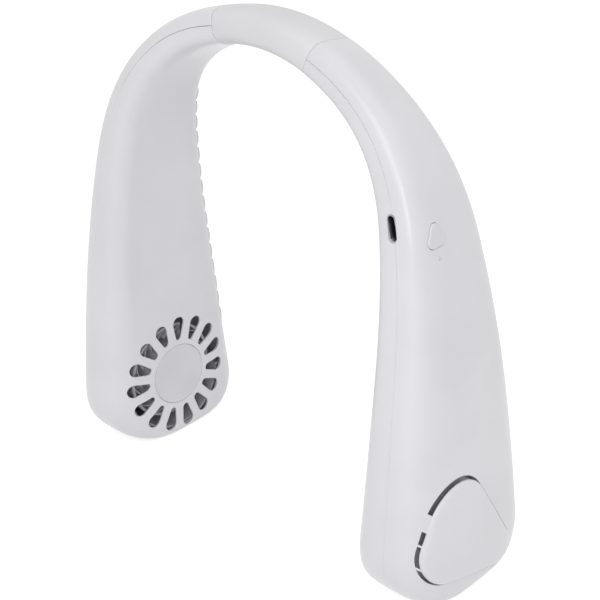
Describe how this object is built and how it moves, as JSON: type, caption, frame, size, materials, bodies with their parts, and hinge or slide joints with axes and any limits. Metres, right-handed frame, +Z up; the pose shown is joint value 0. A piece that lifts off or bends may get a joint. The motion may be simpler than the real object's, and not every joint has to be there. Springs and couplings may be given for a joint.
{
  "type": "electric neck fan",
  "caption": "U-shaped wearable fan: two curved hollow arms on a flexible neck band, each with a centrifugal fan, grille, intake cover, battery and scalloped air outlet.",
  "frame": {"origin": "bottom centre of the bounding box, on the floor between the two feet", "axes": "+Z up from the feet to the neck band, +X from the left arm to the right arm (the one with the power button), +Y from the arms' back edge to their outlet edge"},
  "size_m": [0.1922, 0.0663, 0.1952],
  "materials": {
    "shell_white": "satin white-grey moulded plastic",
    "trim_grey": "satin light grey moulded plastic",
    "soft_sleeve": "soft moulded rubber, matt",
    "fan_plastic": "light grey nylon",
    "duct_plastic": "light grey moulded plastic",
    "plug_plastic": "black nylon",
    "drawn_steel": "drawn steel sheet",
    "ground_steel": "ground steel pin",
    "spring_steel": "rolled spring steel",
    "zinc_screws": "zinc plated steel",
    "magnet": "bonded magnet ring",
    "motor_core": "stacked steel sheets",
    "copper_wire": "enamelled copper wire",
    "bronze_bush": "sintered bronze",
    "circuit_board": "green board lacquer",
    "grey_lead": "dark grey wire cover",
    "cell_foil": "laminated pouch foil",
    "foam": "black foam",
    "black_epoxy": "black moulded epoxy",
    "key_plastic": "satin light grey key",
    "stem_plastic": "ivory plastic",
    "lamp": "yellow lamp lens",
    "clear_pipe": "frosted clear plastic"
  },
  "bodies": {
    "left_arm": {"left_outer_shell": "shell_white", "left_inner_shell": "shell_white", "left_outlet_strip": "trim_grey", "left_intake_cover": "shell_white", "left_grille_disc": "trim_grey", "left_air_duct": "duct_plastic", "left_motor_stator": "motor_core", "left_motor_windings": "copper_wire", "left_motor_bearing": "bronze_bush", "left_motor_board": "circuit_board", "left_motor_screws": "zinc_screws", "left_motor_leads": "grey_lead", "left_battery_cell": "cell_foil", "left_battery_pad": "foam", "left_arm_plug": "plug_plastic", "neck_sleeve": "soft_sleeve", "neck_spring": "spring_steel", "neck_harness": "grey_lead"},
    "left_fan": {"left_fan_wheel": "fan_plastic", "left_rotor_cup": "drawn_steel", "left_rotor_magnet": "magnet", "left_motor_shaft": "ground_steel"},
    "right_arm": {"right_outer_shell": "shell_white", "right_inner_shell": "shell_white", "right_outlet_strip": "trim_grey", "right_intake_cover": "shell_white", "right_grille_disc": "trim_grey", "right_air_duct": "duct_plastic", "right_motor_stator": "motor_core", "right_motor_windings": "copper_wire", "right_motor_bearing": "bronze_bush", "right_motor_board": "circuit_board", "right_motor_screws": "zinc_screws", "right_motor_leads": "grey_lead", "right_battery_cell": "cell_foil", "right_battery_pad": "foam", "right_arm_plug": "plug_plastic", "control_board": "circuit_board", "board_parts": "black_epoxy", "board_screws": "zinc_screws", "usb_socket": "drawn_steel", "button_switch": "black_epoxy", "status_led": "lamp", "led_pipe": "clear_pipe"},
    "right_fan": {"right_fan_wheel": "fan_plastic", "right_rotor_cup": "drawn_steel", "right_rotor_magnet": "magnet", "right_motor_shaft": "ground_steel"},
    "button": {"power_button": "key_plastic"},
    "stem": {"switch_stem": "stem_plastic"}
  },
  "joints": [
    {"name": "band_flex", "type": "hinge", "parent": "left_arm", "child": "right_arm", "pos_m": [0.005, 0, 0.188], "axis": [0, -1, 0], "range_deg": [-10, 24], "stiffness_Nm_per_rad": 2.4, "deforming": ["neck_sleeve", "neck_spring", "neck_harness"]},
    {"name": "left_fan_spin", "type": "hinge", "parent": "left_arm", "child": "left_fan", "pos_m": [-0.07724, -0.0016, 0.0276], "axis": [1, 0, 0], "continuous": true},
    {"name": "right_fan_spin", "type": "hinge", "parent": "right_arm", "child": "right_fan", "pos_m": [0.07724, -0.0016, 0.0276], "axis": [1, 0, 0], "continuous": true},
    {"name": "button_press", "type": "slide", "parent": "right_arm", "child": "button", "axis": [-0.9666, -0.1156, -0.2286], "range_m": [0, 0.0003], "stiffness_N_per_m": 1500},
    {"name": "switch_press", "type": "slide", "parent": "right_arm", "child": "stem", "axis": [-0.9666, -0.1156, -0.2286], "range_m": [0, 0.0003]}
  ],
  "couplings": [
    {"joint": "switch_press", "follows": "button_press", "ratio": 1}
  ]
}
